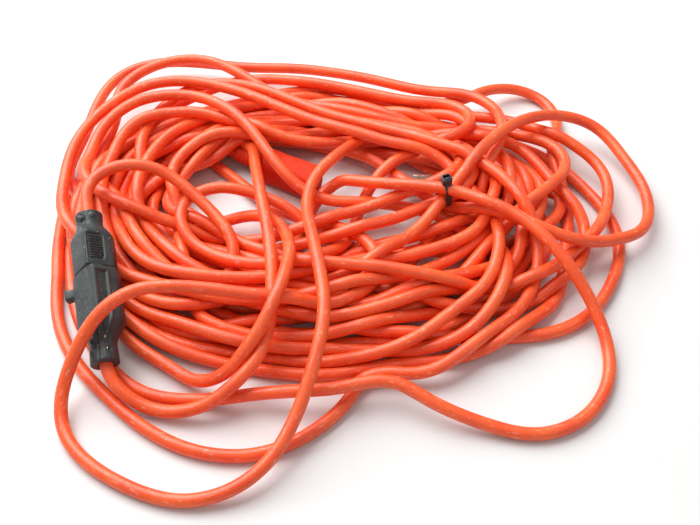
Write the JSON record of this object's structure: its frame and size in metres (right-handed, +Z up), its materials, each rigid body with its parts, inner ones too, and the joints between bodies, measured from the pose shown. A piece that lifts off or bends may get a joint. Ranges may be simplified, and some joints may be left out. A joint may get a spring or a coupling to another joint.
{
  "type": "extension cord set, coiled",
  "caption": "Loose oval coil of round extension cord with a mated wired-on plug and connector, moulded end fittings and a cable tie.",
  "frame": {"origin": "on the surface the heap lies on, under the middle of its bounding box", "axes": "+X to the right along the heap's length, +Y to the back, +Z up; the black plug and connector are at -X and the cable tie at +X"},
  "size_m": [0.4511, 0.3931, 0.0603],
  "materials": {
    "orange_jacket": "satin",
    "orange_moulding": "satin",
    "black_shell": "matte",
    "dark_insulator": "matte",
    "plated_blade": "satin",
    "brass": "satin",
    "spring_steel": "satin",
    "conductor_insulation": "gloss",
    "tie_nylon": "satin"
  },
  "bodies": {
    "heap": {"main_coil": "orange_jacket", "front_left_loop": "orange_jacket", "outer_front_loop": "orange_jacket", "right_front_loop": "orange_jacket", "right_loop": "orange_jacket", "back_right_loop": "orange_jacket", "back_left_loop": "orange_jacket", "connector_lead": "orange_jacket", "connector_left_shell": "black_shell", "connector_right_shell": "black_shell", "connector_shell_screws": "brass", "connector_contact_carrier": "dark_insulator", "connector_hot_contact": "brass", "connector_neutral_contact": "brass", "connector_ground_contact": "brass", "connector_terminal_screws": "brass", "connector_conductors": "conductor_insulation", "lock_spring": "spring_steel", "outlet_moulding": "orange_moulding", "outlet_contact_block": "orange_moulding", "outlet_hot_contact": "brass", "outlet_neutral_contact": "brass", "outlet_ground_contact": "brass", "outlet_lead": "orange_jacket", "end_plug_moulding": "orange_moulding", "end_plug_block": "orange_moulding", "end_plug_hot_blade": "plated_blade", "end_plug_neutral_blade": "plated_blade", "end_plug_ground_pin": "plated_blade", "end_plug_lead": "orange_jacket", "cable_tie": "tie_nylon"},
    "plug": {"plug_left_shell": "black_shell", "plug_right_shell": "black_shell", "plug_shell_screws": "brass", "plug_blade_carrier": "dark_insulator", "plug_hot_blade": "plated_blade", "plug_neutral_blade": "plated_blade", "plug_ground_pin": "plated_blade", "plug_terminal_screws": "brass", "plug_conductors": "conductor_insulation", "plug_lead": "orange_jacket"},
    "lock_button": {"lock_release_button": "black_shell"},
    "tie_pawl": {"cable_tie_pawl": "tie_nylon"}
  },
  "joints": [
    {"name": "plug_pull", "type": "slide", "parent": "heap", "child": "plug", "axis": [-0.2192, 0.9494, 0.225], "range_m": [0, 0.021], "deforming": ["plug_lead"]},
    {"name": "lock_button_press", "type": "slide", "parent": "heap", "child": "lock_button", "axis": [0.9684, 0.1835, 0.1692], "range_m": [0, 0.002], "stiffness_N_per_m": 600, "springref_m": -0.001, "deforming": ["lock_spring"]},
    {"name": "tie_pawl_flex", "type": "hinge", "parent": "heap", "child": "tie_pawl", "pos_m": [0.066, 0.029, 0.04845], "axis": [-0.9397, -0.342, 0], "range_deg": [0, 12], "stiffness_Nm_per_rad": 0.02}
  ]
}
